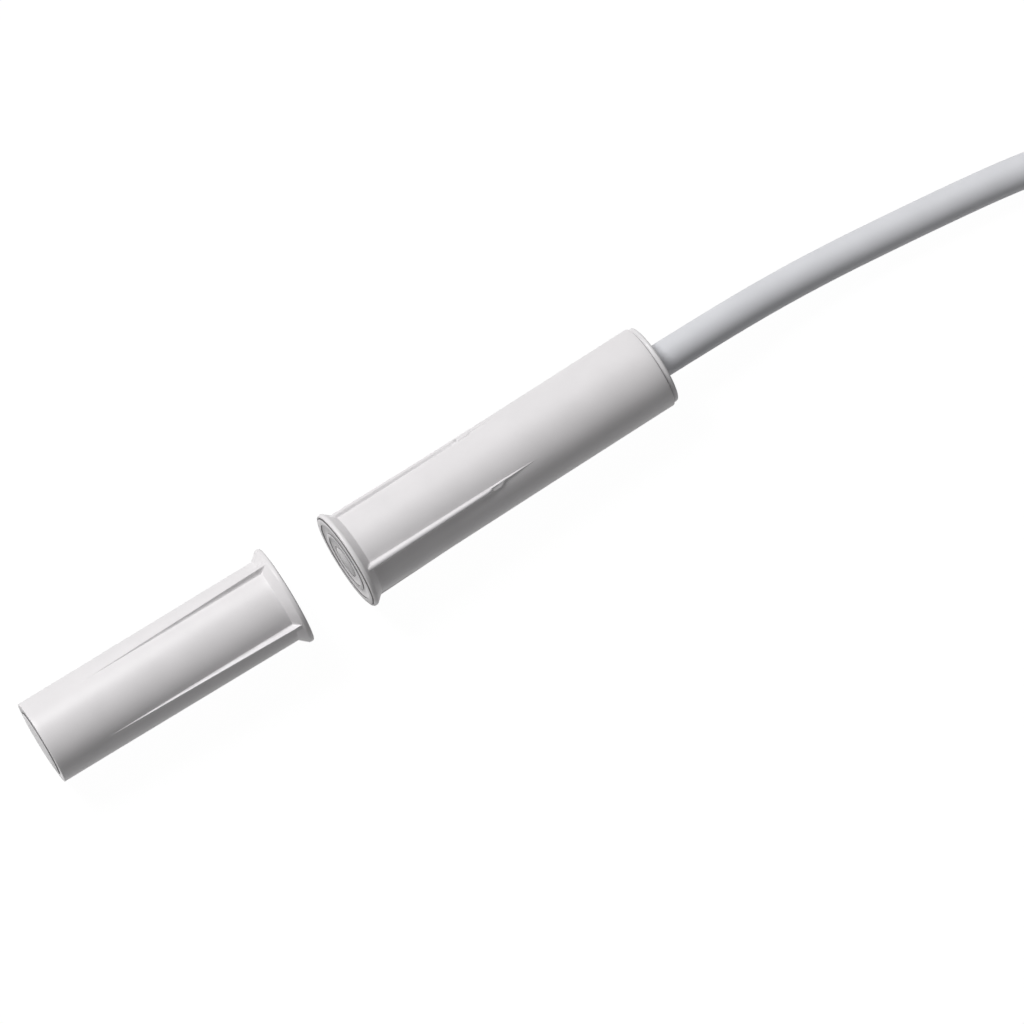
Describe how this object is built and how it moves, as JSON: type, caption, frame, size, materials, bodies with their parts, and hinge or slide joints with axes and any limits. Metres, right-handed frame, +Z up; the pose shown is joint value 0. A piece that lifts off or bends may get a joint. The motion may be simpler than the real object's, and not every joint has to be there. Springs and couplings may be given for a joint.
{
  "type": "recessed magnetic contact",
  "caption": "Recessed door and window contact: a flanged reed switch unit on a cable tied in a hank, and its flanged magnet unit, both with ribs that grip a drilled hole",
  "frame": {"origin": "On the floor, under the middle of the box around the two units, with the cable left out.", "axes": "+X runs along the switch unit from its front face to its cable, so the magnet unit lies on the -X side. +Z is up, and both units lie on the floor on their flange rim and tail edge. +Y is to the left when looking along +X."},
  "size_m": [0.2028, 0.0288, 0.0143],
  "materials": {
    "housing_plastic": "moulded white plastic with a soft gloss",
    "cap_plastic": "moulded white plastic with a soft gloss",
    "magnet_alloy": "ground magnet alloy",
    "potting_resin": "cured resin",
    "circuit_board": "green circuit board",
    "reed_glass": "clear green glass",
    "reed_metal": "plated nickel iron",
    "solder": "bright solder",
    "cable_pvc": "cool white cable jacket",
    "tie_nylon": "natural nylon",
    "core_white": "white core insulation",
    "core_brown": "brown core insulation",
    "core_green": "green core insulation",
    "core_yellow": "yellow core insulation",
    "tinned_copper": "tinned copper wire"
  },
  "bodies": {
    "root": {"magnet_housing": "housing_plastic", "bar_magnet": "magnet_alloy", "magnet_end_plug": "cap_plastic", "switch_housing": "housing_plastic", "rear_cap": "cap_plastic", "potting_plug": "potting_resin", "reed_board": "circuit_board", "reed_capsule": "reed_glass", "reed_blade_front": "reed_metal", "reed_blade_rear": "reed_metal", "solder_joint_reed_front": "solder", "solder_joint_reed_rear": "solder", "solder_joint_white": "solder", "solder_joint_brown": "solder", "solder_joint_green": "solder", "solder_joint_yellow": "solder", "core_white": "core_white", "core_brown": "core_brown", "core_green": "core_green", "core_yellow": "core_yellow", "core_wire_white": "tinned_copper", "core_wire_brown": "tinned_copper", "core_wire_green": "tinned_copper", "core_wire_yellow": "tinned_copper", "cable_jacket": "cable_pvc", "cable_hank": "cable_pvc", "hank_tie": "tie_nylon", "cable_tail": "cable_pvc", "end_core_white": "core_white", "end_core_brown": "core_brown", "end_core_green": "core_green", "end_core_yellow": "core_yellow", "end_wire_white": "tinned_copper", "end_wire_brown": "tinned_copper", "end_wire_green": "tinned_copper", "end_wire_yellow": "tinned_copper"}
  },
  "joints": []
}
